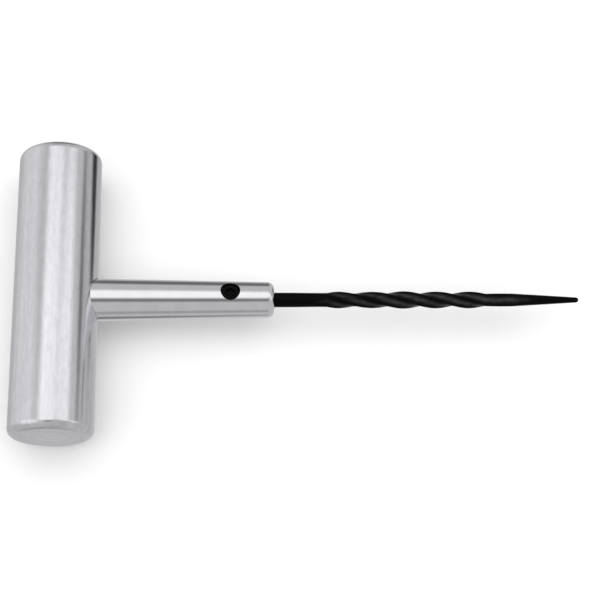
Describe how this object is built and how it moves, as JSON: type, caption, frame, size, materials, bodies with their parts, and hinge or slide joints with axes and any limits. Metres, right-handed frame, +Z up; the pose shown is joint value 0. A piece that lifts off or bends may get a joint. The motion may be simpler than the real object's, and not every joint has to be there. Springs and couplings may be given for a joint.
{
  "type": "tyre plug insertion tool",
  "caption": "Solid aluminium T-handle with a tapered stem that clamps a black twisted steel needle with a grub screw, for pushing repair plugs into a tyre.",
  "frame": {"origin": "under the middle of the bounding box, level with the lowest line of the grip bar", "axes": "+X along the needle towards its tip, +Y along the grip bar, +Z up, with the grub screw on top"},
  "size_m": [0.173, 0.0904, 0.0254],
  "materials": {
    "bar_aluminium": "satin",
    "stem_aluminium": "polished",
    "needle_steel": "satin",
    "screw_steel": "satin"
  },
  "bodies": {
    "handle": {"grip_bar": "bar_aluminium", "stem": "stem_aluminium"},
    "needle": {"needle": "needle_steel"},
    "grub_screw": {"grub_screw": "screw_steel"}
  },
  "joints": [
    {"name": "needle_slide", "type": "slide", "parent": "handle", "child": "needle", "axis": [1, 0, 0], "range_m": [0, 0.032]},
    {"name": "grub_screw_slide", "type": "slide", "parent": "handle", "child": "grub_screw", "axis": [0, 0.2079, 0.9781], "range_m": [0, 0.006]}
  ]
}
